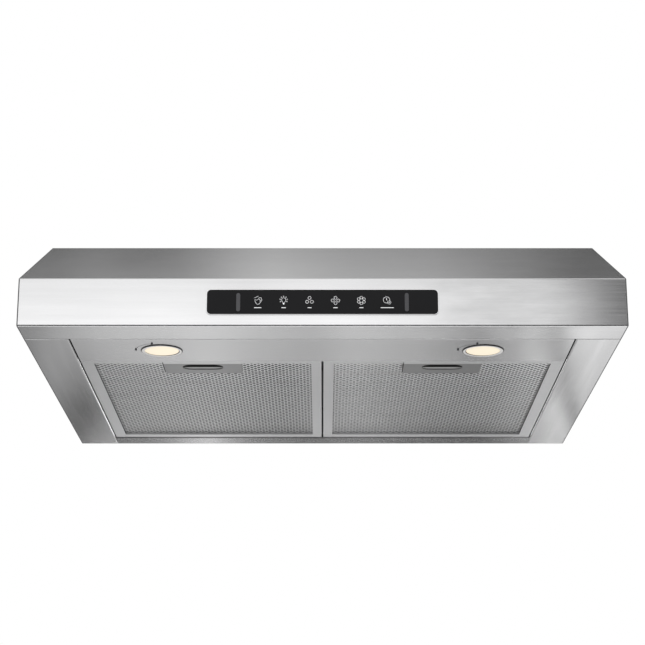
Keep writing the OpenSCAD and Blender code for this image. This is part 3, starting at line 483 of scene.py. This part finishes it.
def expanded_metal(low, high, skip, mirrored):
    """A sheet over the rectangle low..high in X and Y, in mm, with its lower face at low.z. Cells
    are left out where skip(x, y)."""
    cols = int((high.x - low.x) / PITCH_X)
    rows = int((high.y - low.y) / PITCH_Y * 2) - 1
    first_x = (low.x + high.x - (cols - 1) * PITCH_X) / 2
    first_y = (low.y + high.y - (rows - 1) * PITCH_Y / 2) / 2
    outer = [(0.5, 0), (0.25, 0.25), (0, 0.5), (-0.25, 0.25),
             (-0.5, 0), (-0.25, -0.25), (0, -0.5), (0.25, -0.25)]
    inner = [polar((0, 0), 1, 45 * k) for k in range(8)]
    inner = [(HOLE_X * u, HOLE_Y * v * (0.9 if k % 2 else 1)) for k, (u, v) in enumerate(inner)]
    verts, faces, shared, edges = [], [], {}, {}
    sign = -1 if mirrored else 1

    def corner(x, y, z):
        verts.append((sign * x * MM, y * MM, z * MM))
        return len(verts) - 1

    def shared_corner(x, y, z):
        key = (round(x * 50), round(y * 50), z > low.z)
        if key not in shared:
            shared[key] = corner(x, y, z)
        return shared[key]

    for j in range(rows):
        y = first_y + j * PITCH_Y / 2
        for i in range(cols - j % 2):
            x = first_x + i * PITCH_X + (j % 2) * PITCH_X / 2
            if skip(x, y):
                continue
            rings = []
            for z in (low.z, low.z + STRAND_T):
                rings.append([shared_corner(x + u * PITCH_X, y + v * PITCH_Y, z) for u, v in outer])
                rings.append([corner(x + u * PITCH_X, y + v * PITCH_Y, z + TILT * v) for u, v in inner])
            low_out, low_in, high_out, high_in = rings
            for k in range(8):
                m = (k + 1) % 8
                faces.append((low_out[m], low_out[k], low_in[k], low_in[m]))
                faces.append((high_out[k], high_out[m], high_in[m], high_in[k]))
                faces.append((low_in[m], low_in[k], high_in[k], high_in[m]))
                rim = (low_out[k], low_out[m], high_out[m], high_out[k])
                key = frozenset(rim[:2])
                edges[key] = None if key in edges else rim
    faces += [rim for rim in edges.values() if rim]
    if mirrored:
        faces = [tuple(reversed(f)) for f in faces]
    return verts, faces


for side in SIDES:
    low, high = box_mm("filter_mesh_" + side)
    plate_low, plate_high = box_mm("latch_housing_" + side)
    if side == "left":
        low.x, high.x = -high.x, -low.x
        plate_low.x, plate_high.x = -plate_high.x, -plate_low.x

    def over_plate(x, y, a=plate_low, b=plate_high):
        return a.x + UNDER_PLATE < x < b.x - UNDER_PLATE and y < b.y - UNDER_PLATE

    made = piece("expanded_metal_" + side, *expanded_metal(low, high, over_plate, side == "left"),
                 looks["filter_mesh"], "filter_" + side, "filter_mesh")
    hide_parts("filter_mesh_" + side)


class Ink:
    """Flat marks drawn in a plane, in mm, as thin closed plates."""

    def __init__(self, origin, across, up, out, thick=0.12, sunk=0.05):
        self.origin, self.across, self.up, self.out = (Vector(v) for v in (origin, across, up, out))
        self.thick, self.sunk = thick, sunk
        self.verts, self.faces = [], []

    def point(self, p, level):
        """Adds a corner at p in the plane, level mm in front of it."""
        at = self.origin + p[0] * self.across + p[1] * self.up + level * self.out
        self.verts.append(tuple(at * MM))
        return len(self.verts) - 1

    def fill(self, outline):
        """A convex or gently curved outline, anticlockwise as seen from outside."""
        front = [self.point(p, self.thick - self.sunk) for p in outline]
        back = [self.point(p, -self.sunk) for p in outline]
        self.faces.append(tuple(front))
        self.faces.append(tuple(reversed(back)))
        for k in range(len(outline)):
            m = (k + 1) % len(outline)
            self.faces.append((back[k], back[m], front[m], front[k]))

    def stroke(self, points, width, closed=False):
        """A line of even width along the points."""
        n = len(points)
        rings = []
        for i, p in enumerate(points):
            a = Vector(points[(i - 1) % n] if closed or i > 0 else p)
            b = Vector(points[(i + 1) % n] if closed or i < n - 1 else p)
            along = (b - a).normalized()
            aside = Vector((-along.y, along.x)) * width / 2
            top, bottom = self.thick - self.sunk, -self.sunk
            rings.append([self.point(Vector(p) + turn * aside, level)
                          for turn, level in ((-1, top), (1, top), (1, bottom), (-1, bottom))])
        for i in range(n if closed else n - 1):
            p, q = rings[i], rings[(i + 1) % n]
            for k in range(4):
                m = (k + 1) % 4
                self.faces.append((p[m], p[k], q[k], q[m]))
        if not closed:
            self.faces.append(tuple(rings[0]))
            self.faces.append(tuple(reversed(rings[-1])))

    def arc(self, centre, r, a0, a1, width, closed=False, n=20):
        """A line along an arc from a0 to a1 degrees, or round a whole circle in n steps."""
        steps = n if closed else n + 1
        self.stroke([polar(centre, r, a0 + (a1 - a0) * i / n) for i in range(steps)], width, closed)

    def disc(self, centre, r, n=16):
        self.fill([polar(centre, r, 360 * i / n) for i in range(n)])


# Line widths of the icons' outlines, their short strokes and the dashes below them
INK_W, SHORT_W, DASH_W = 0.28, 0.5, 0.6


def fan_icon(ink, x, blades, reach, loop):
    """Blades drawn as round loops about a hub."""
    for k in range(blades):
        ink.arc(polar((x, 0), reach, 90 + 360 * k / blades), loop, 0, 360, INK_W, True, 16)


def hand_icon(ink, x):
    """A mitten with a wave above it."""
    mitten = [(-2.9, 1.0), (-2.7, -1.0), (-1.7, -2.9), (0.0, -4.2), (1.6, -3.1), (3.2, -1.2),
              (3.9, 0.6), (3.5, 2.4), (2.3, 3.2), (0.9, 2.6), (0.2, 1.0), (-1.2, 0.4)]
    ink.stroke([(x + u, v) for u, v in mitten], INK_W, True)
    ink.stroke([(x + 1.3, 1.5), (x + 2.4, 0.2), (x + 2.2, -1.4)], INK_W)
    ink.stroke([(x - 3.4, 2.7), (x - 1.6, 3.5), (x + 0.5, 4.6)], INK_W)


def bulb_icon(ink, x):
    """A bulb with rays round it."""
    glow = (x, 0.7)
    ink.arc(glow, 2.1, -38, 218, INK_W)
    ink.stroke([(x - 1.66, -0.6), (x - 0.6, -2.6), (x + 0.6, -2.6), (x + 1.66, -0.6)], INK_W)
    ink.disc((x, -3.4), 0.75, 10)
    for k in range(7):
        ink.stroke([polar(glow, r, -30 + 240 * k / 6) for r in (3.1, 4.1)], SHORT_W)


def clock_icon(ink, x):
    """An open dial with its hands, and a small badge."""
    badge = (x + 2.0, -1.9)
    ink.arc((x - 0.6, 0.6), 3.2, -25, 300, INK_W)
    ink.stroke([(x - 0.6, 2.4), (x - 0.6, 0.8), (x - 0.2, 0.3)], SHORT_W)
    ink.arc(badge, 1.9, 0, 360, INK_W, True, 5)
    ink.disc(badge, 0.45, 8)


# The icons stand a little above the glass's middle, each over a short dash
ICON_PITCH, ICON_RISE = 25.45, 1.6
DASH_HALVES = (3.5, 2.2, 1.9, 2.1, 2.0, 6.4)
DASH_DROP = 7.4
glass_low, glass_high = box_mm("control_glass")
glass_mid = (glass_low.z + glass_high.z) / 2
icons = Ink((0, glass_low.y, glass_mid + ICON_RISE), (1, 0, 0), (0, 0, 1), (0, -1, 0))
hand_icon(icons, -63.6)
bulb_icon(icons, -38.2)
fan_icon(icons, -12.8, 3, 2.7, 1.55)
fan_icon(icons, 12.8, 4, 2.75, 1.5)
fan_icon(icons, 38.2, 6, 3.0, 1.35)
clock_icon(icons, 63.6)
for k, half in enumerate(DASH_HALVES):
    at = (k - 2.5) * ICON_PITCH
    icons.stroke([(at - half, -DASH_DROP), (at + half, -DASH_DROP)], DASH_W)
piece("touch_icons", icons.verts, icons.faces, icon_ink, "hood", "white_plastic")


def rounded_loop(half_w, half_h, r, n=6):
    """A rounded rectangle, anticlockwise."""
    w, h = half_w - r, half_h - r
    middles = ((w, h), (-w, h), (-w, -h), (w, -h))
    return [polar(middle, r, 90 * (k + i / n)) for k, middle in enumerate(middles) for i in range(n + 1)]


# Polished trim round the glass: half round in section, let in a little behind the face
GLASS_R = 3.6
TRIM_NEAR, TRIM_FAR, TRIM_PROUD, TRIM_SUNK = 0.28, 1.38, 0.5, 0.3
trim_mid, trim_half = (TRIM_NEAR + TRIM_FAR) / 2, (TRIM_FAR - TRIM_NEAR) / 2
half_w, half_h = (glass_high.x - glass_low.x) / 2, (glass_high.z - glass_low.z) / 2
section = [(TRIM_NEAR, -TRIM_SUNK)]
for i in range(7):
    u, v = polar((0, 0), 1, 180 - 30 * i)
    section.append((trim_mid + trim_half * u, TRIM_PROUD * v))
section.append((TRIM_FAR, -TRIM_SUNK))
verts, faces = [], []
for offset, proud in section:
    verts += [(x * MM, (glass_low.y - proud) * MM, (glass_mid + z) * MM)
              for x, z in rounded_loop(half_w + offset, half_h + offset, GLASS_R + offset)]
ring_n = len(verts) // len(section)
for i in range(len(section)):
    j = (i + 1) % len(section)
    for k in range(ring_n):
        m = (k + 1) % ring_n
        faces.append((i * ring_n + k, i * ring_n + m, j * ring_n + m, j * ring_n + k))
trim = piece("glass_trim", verts, faces, looks["polished"], "hood", "stainless")
trim.data.shade_smooth()

# Twist marks on the lamp panel: an arc beside each lamp, with a pin at each end
TWIST_R, TWIST_FROM, TWIST_TO, TWIST_W = 26.5, -192, -250, 0.5
PIN_R, PIN_ANGLES = 1.0, (-189.5, -252.5)
lens_low, lens_high = box_mm("lamp_lens_right")
lamp_x, lamp_y, _ = (lens_low + lens_high) / 2
panel_low, _ = box_mm("light_panel")
under_panel = ((0, 0, panel_low.z), (1, 0, 0), (0, -1, 0), (0, 0, -1))
marks = Ink(*under_panel, thick=0.1, sunk=0.05)
pins = Ink(*under_panel, thick=1.5, sunk=0.3)
for side in (-1, 1):
    centre = (side * lamp_x, -lamp_y)
    marks.arc(centre, TWIST_R, TWIST_FROM, TWIST_TO, TWIST_W, n=16)
    for angle in PIN_ANGLES:
        pins.disc(polar(centre, TWIST_R, angle), PIN_R)
piece("twist_marks", marks.verts, marks.faces, mark_ink, "hood", "black_plastic")
piece("twist_pins", pins.verts, pins.faces, mark_ink, "hood", "black_plastic")


def washer(name, x, inner_shift, r0, r1, material, label, slot, n=72):
    """A flat ring round a lamp, just proud of its bezel, with its hole shifted sideways."""
    bezel_low, _ = box_mm("lamp_bezel_" + label)
    z0, z1 = bezel_low.z - 0.30, bezel_low.z + 0.05
    verts, faces = [], []
    for r, shift, z in ((r0, inner_shift, z0), (r1, 0, z0), (r1, 0, z1), (r0, inner_shift, z1)):
        ring = [polar((x + shift, lamp_y), r, 360 * i / n) for i in range(n)]
        verts += [(u * MM, v * MM, z * MM) for u, v in ring]
    for i in range(4):
        j = (i + 1) % 4
        for k in range(n):
            m = (k + 1) % n
            faces.append((i * n + k, j * n + k, j * n + m, i * n + m))
    piece(name, verts, faces, material, "lamp_" + label, slot)


# White light guide round each lens, wider on its outer side, in a dark ring that stands in for the shadow in
# the gap round it (painted shadow)
GUIDE_R0, GUIDE_R1, GUIDE_SHIFT = 17.85, 20.5, 0.45
SHADOW_RING_R0, SHADOW_RING_R1 = 20.48, 20.8
for side, label in zip((-1, 1), SIDES):
    washer("light_guide_" + label, side * lamp_x, -side * GUIDE_SHIFT, GUIDE_R0, GUIDE_R1,
           looks["light_guide"], label, "lamp_lens")
    washer("guide_shadow_ring_" + label, side * lamp_x, 0, SHADOW_RING_R0, SHADOW_RING_R1, looks["bezel"], label,
           "black_plastic")

# How deep a glued-on piece reaches into what it is glued to
LET_IN = 0.02

# Black pads on the folded front edges of the pull plates, a painted shadow along the front of each slot
PULL_Y, SHADOW_PAD_T, SHADOW_PAD_HALF, SHADOW_PAD_DROP, SHADOW_PAD_H = -197.8, 0.5, 22.0, 0.25, 3.3
for side in SIDES:
    low, high = box_mm("latch_slider_" + side)
    middle = (low.x + high.x) / 2
    made = cuboid("slot_shadow_pad_" + side, (middle - SHADOW_PAD_HALF, PULL_Y - SHADOW_PAD_T, low.z - SHADOW_PAD_DROP),
                  (middle + SHADOW_PAD_HALF, PULL_Y + LET_IN, low.z + SHADOW_PAD_H),
                  looks["rubber"], "latch_" + side, "rubber")
    rounding = made.modifiers.new("rounding", "BEVEL")
    rounding.width = 0.15 * MM

# A black strip along the left side of each handle plate, a painted shadow in the gap there
SHADOW_STRIP_W, SHADOW_STRIP_T, SHADOW_STRIP_FRONT, SHADOW_STRIP_REAR = 0.9, 1.0, 2.0, 4.6
for side in SIDES:
    low, high = box_mm("latch_housing_" + side)
    cuboid("plate_shadow_strip_" + side, (low.x - SHADOW_STRIP_W, low.y + SHADOW_STRIP_FRONT, low.z - LET_IN),
           (low.x + LET_IN, high.y - SHADOW_STRIP_REAR, low.z + SHADOW_STRIP_T),
           looks["rubber"], "filter_" + side, "rubber")

# Latch springs, each copied as a piece that moves with its filter
for side in SIDES:
    spring = "latch_spring_" + side
    low, high = box_mm(spring)
    made = bpy.data.objects.new("closing_spring_" + side, nodes[spring].data.copy())
    made.matrix_world = nodes[spring].matrix_world
    bpy.context.scene.collection.objects.link(made)
    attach(made, "filter_" + side)
    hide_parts(spring)
    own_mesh(made)

# ---------------------------------------------------------------- studio

FLOOR_Z = -0.80


def shown_level(value, reflectance):
    """Radiance that shows as this sRGB value, 0 to 255, after a reflection."""
    v = value / 255
    return (v / 12.92 if v <= 0.04045 else ((v + 0.055) / 1.055) ** 2.4) / reflectance


def world():
    """Plain white behind the hood; soft sky for light; darkness low in front, as seen in the metal."""
    made = bpy.data.worlds.new("studio")
    bpy.context.scene.world = made
    made.use_nodes = True
    tree = made.node_tree
    tree.nodes.clear()
    ray = add(tree, "ShaderNodeTexCoord").outputs["Generated"]
    x, y, z = add(tree, "ShaderNodeSeparateXYZ", Vector=ray).outputs
    height = remap(tree, z, -0.6, 0.9, 0.35, 0.95, True)
    sides = remap(tree, calc(tree, "ABSOLUTE", x), 0.2, 0.9, 0.75, 1.25, True)
    sky = calc(tree, "MULTIPLY", height, sides)
    low = remap(tree, z, -0.40, -0.55, 0, 1, True)
    ahead = remap(tree, y, 0.02, -0.15, 0, 1, True)
    path = add(tree, "ShaderNodeLightPath").outputs
    gloom = calc(tree, "MULTIPLY", calc(tree, "MULTIPLY", low, ahead), path["Is Glossy Ray"])
    level = mixed(tree, mixed(tree, sky, 0.02, gloom), 1.0, path["Is Camera Ray"])
    lit = add(tree, "ShaderNodeBackground", Color=(1, 1, 1, 1), Strength=level)
    add(tree, "ShaderNodeOutputWorld", Surface=lit.outputs[0])


def key_light():
    """A soft light above and to the left, kept out of the reflections."""
    at, aim = Vector((-1.1, -1.6, 1.7)), Vector((0, -0.1, -0.1))
    data = bpy.data.lights.new("key", "AREA")
    data.shape = "RECTANGLE"
    data.size = data.size_y = 1.2
    data.energy = 22
    made = bpy.data.objects.new("key", data)
    bpy.context.scene.collection.objects.link(made)
    made.location = at
    made.rotation_euler = (aim - at).to_track_quat("-Z", "Y").to_euler()
    made.visible_camera = made.visible_glossy = False


def light_card(name, corners, light):
    """A glowing card seen only in reflections; light(tree, x, z) is its strength."""
    material = bpy.data.materials.new(name)
    material.use_nodes = True
    tree = material.node_tree
    tree.nodes.clear()
    coords = places(tree)
    x, _, z = add(tree, "ShaderNodeSeparateXYZ", Vector=coords).outputs
    glow = add(tree, "ShaderNodeEmission", Color=(1, 1, 1, 1), Strength=light(tree, x, z))
    add(tree, "ShaderNodeOutputMaterial", Surface=glow.outputs[0])
    mesh = bpy.data.meshes.new(name)
    mesh.from_pydata(corners, [], [(0, 1, 2, 3)])
    mesh.materials.append(material)
    made = bpy.data.objects.new(name, mesh)
    bpy.context.scene.collection.objects.link(made)
    made.visible_camera = made.visible_diffuse = made.visible_shadow = False
    made.visible_transmission = made.visible_volume_scatter = False


def upright(y, x0, x1, z0, z1):
    """Corners of a card that stands across the hood."""
    return [(x0, y, z0), (x1, y, z0), (x1, y, z1), (x0, y, z1)]


def near(tree, offsets):
    """1 at the middle, falling smoothly to 0; offsets are distances in units of the half sizes."""
    away = 0.0
    for offset in offsets:
        away = calc(tree, "ADD", away, calc(tree, "MULTIPLY", offset, offset))
    return calc(tree, "EXPONENT", calc(tree, "MULTIPLY", away, -1.0))


def offset_from(tree, value, middle, half):
    """How far value is from the middle, in half sizes."""
    return calc(tree, "DIVIDE", calc(tree, "SUBTRACT", value, middle), half)


def across(stops, reflectance, patches=(), bands=(), fade=None):
    """Light that follows stops along X. Each patch (x, z, half x, half z, factor) scales it about
    a point, each band (x, z, lean, half x, factor) along a leaning line, and fade (z0, z1, factor)
    scales it from 1 at z0 to factor at z1."""
    def light(tree, x, z):
        level = ramp(tree, x, [(at, shown_level(shade, reflectance)) for at, shade in stops])
        if fade:
            z0, z1, factor = fade
            level = calc(tree, "MULTIPLY", level, remap(tree, z, z0, z1, 1, factor, True))
        for px, pz, rx, rz, factor in patches:
            share = near(tree, [offset_from(tree, x, px, rx), offset_from(tree, z, pz, rz)])
            level = calc(tree, "MULTIPLY", level, mixed(tree, 1.0, factor, share))
        for px, pz, lean, half, factor in bands:
            line = calc(tree, "ADD", calc(tree, "MULTIPLY", calc(tree, "SUBTRACT", z, pz), lean), px)
            share = near(tree, [offset_from(tree, x, line, half)])
            level = calc(tree, "MULTIPLY", level, mixed(tree, 1.0, factor, share))
        return level
    return light


def even(level):
    """The same light all over."""
    return lambda tree, x, z: level


def floor():
    """A pale floor below the hood, left out of the reflections."""
    rgb = (0.80, 0.80, 0.80)
    half = 9.0
    material, tree, shader = start("floor", rgb, 0.8)
    coords = places(tree)
    clouds = noise(tree, coords, 1.5, 3)
    put(tree, shader.inputs["Base Color"], tint(tree, rgb, spread(tree, clouds, 0.985, 1.015)))
    mesh = bpy.data.meshes.new("floor")
    mesh.from_pydata([(-half, -half, 0), (half, -half, 0), (half, half, 0), (-half, half, 0)], [],
                     [(0, 1, 2, 3)])
    mesh.materials.append(material)
    made = bpy.data.objects.new("floor", mesh)
    made.location = (0, 0, FLOOR_Z)
    made.visible_glossy = False
    bpy.context.scene.collection.objects.link(made)


# Shades that the face, the slope and the underside show from left to right, as (x, 0 to 255)
FACE_SHADES = [
    (-0.66, 236), (-0.36, 237), (-0.17, 238), (-0.12, 229), (-0.09, 236), (0.03, 240), (0.07, 234),
    (0.10, 229), (0.16, 226), (0.185, 220), (0.22, 207), (0.26, 203), (0.29, 216), (0.32, 218), (0.36, 196),
    (0.40, 158), (0.43, 108), (0.455, 88), (0.48, 100), (0.66, 110)]
SLOPE_SHADES = [
    (-0.66, 105), (-0.42, 115), (-0.36, 128), (-0.29, 122), (-0.22, 134), (-0.16, 160), (-0.09, 180),
    (-0.04, 176), (0.04, 165), (0.12, 160), (0.19, 154), (0.26, 140), (0.33, 124), (0.39, 104), (0.43, 95),
    (0.66, 90)]
UNDERSIDE_SHADES = [
    (-0.66, 120), (-0.44, 132), (-0.40, 152), (-0.34, 176), (-0.28, 187), (-0.20, 195), (-0.13, 192),
    (-0.04, 176), (0.0, 176), (0.04, 188), (0.10, 182), (0.15, 174), (0.20, 158), (0.235, 150), (0.265, 166),
    (0.28, 164), (0.31, 190), (0.345, 188), (0.36, 196), (0.385, 222), (0.44, 214), (0.66, 205)]
# Darker and lighter spots, and the leaning streaks at the right, in the light from behind and below
PATCHES = [(-0.345, -0.292, 0.04, 0.06, 0.25), (-0.17, -0.24, 0.045, 0.06, 2.2),
           (0.12, -0.24, 0.10, 0.05, 0.7), (0.335, -0.26, 0.045, 0.09, 1.6), (-0.36, -0.41, 0.05, 0.05, 1.35)]
STREAKS = [(0.346, -0.346, 0.23, 0.006, 0.42), (0.359, -0.331, 0.17, 0.006, 0.45),
           (0.280, -0.4075, 0.45, 0.006, 1.5), (0.336, -0.40, 0.25, 0.006, 0.6)]
WIDE = (-0.66, 0.66)

world()
floor()
key_light()
# One card in front, for the face, and two behind, above for the slope and below for the underside
light_card("front_card", upright(-1.2, *WIDE, -0.45, 1.3), across(FACE_SHADES, 0.70))
light_card("top_card", upright(0.52, *WIDE, 0.0, 1.5), across(SLOPE_SHADES, 0.93))
light_card("low_card", upright(0.50, *WIDE, -1.6, -0.2),
           across(UNDERSIDE_SHADES, 0.80, PATCHES, STREAKS, (-0.42, -0.22, 0.6)))
# A bright strip low behind, with dark flags at its ends and beside the hood, for the folded edges
light_card("horizon", upright(0.5, -0.34, 0.34, -0.2, -0.03), even(3.0))
for side in (-1, 1):
    light_card("horizon_flag", upright(0.5, *sorted((side * 0.36, side * 0.90)), -0.2, 0.0), even(0.01))
    flag = [(side * 0.87, y, z) for y, z in ((-0.36, -0.1), (-0.05, -0.1), (-0.05, 0.28), (-0.36, 0.28))]
    light_card("side_flag", flag, even(0.01))
# A shade that keeps the cards behind off the back panel, and light from the floor for the underside
light_card("rear_shade", upright(0.275, -0.46, 0.46, -0.142, 0.03),
           lambda tree, x, z: remap(tree, z, -0.142, 0.03, 0.30, 0.66, True))
bounce_z = FLOOR_Z + 0.01
light_card("bounce", [(-0.7, -0.34, bounce_z), (0.7, -0.34, bounce_z), (0.7, 0.35, bounce_z),
                      (-0.7, 0.35, bounce_z)], even(1.1))

# In front of the hood and below it, looking up; the pitch is in degrees above level
CAMERA_AT, CAMERA_PITCH = (0, -2.0316, -0.6622), 17.02
camera = bpy.data.objects.new("camera", bpy.data.cameras.new("camera"))
camera.data.lens = 100
camera.data.sensor_width = 36
camera.location = CAMERA_AT
camera.rotation_euler = (math.radians(90 + CAMERA_PITCH), 0, 0)
bpy.context.scene.collection.objects.link(camera)
bpy.context.scene.camera = camera
bpy.context.scene.view_settings.view_transform = "Standard"
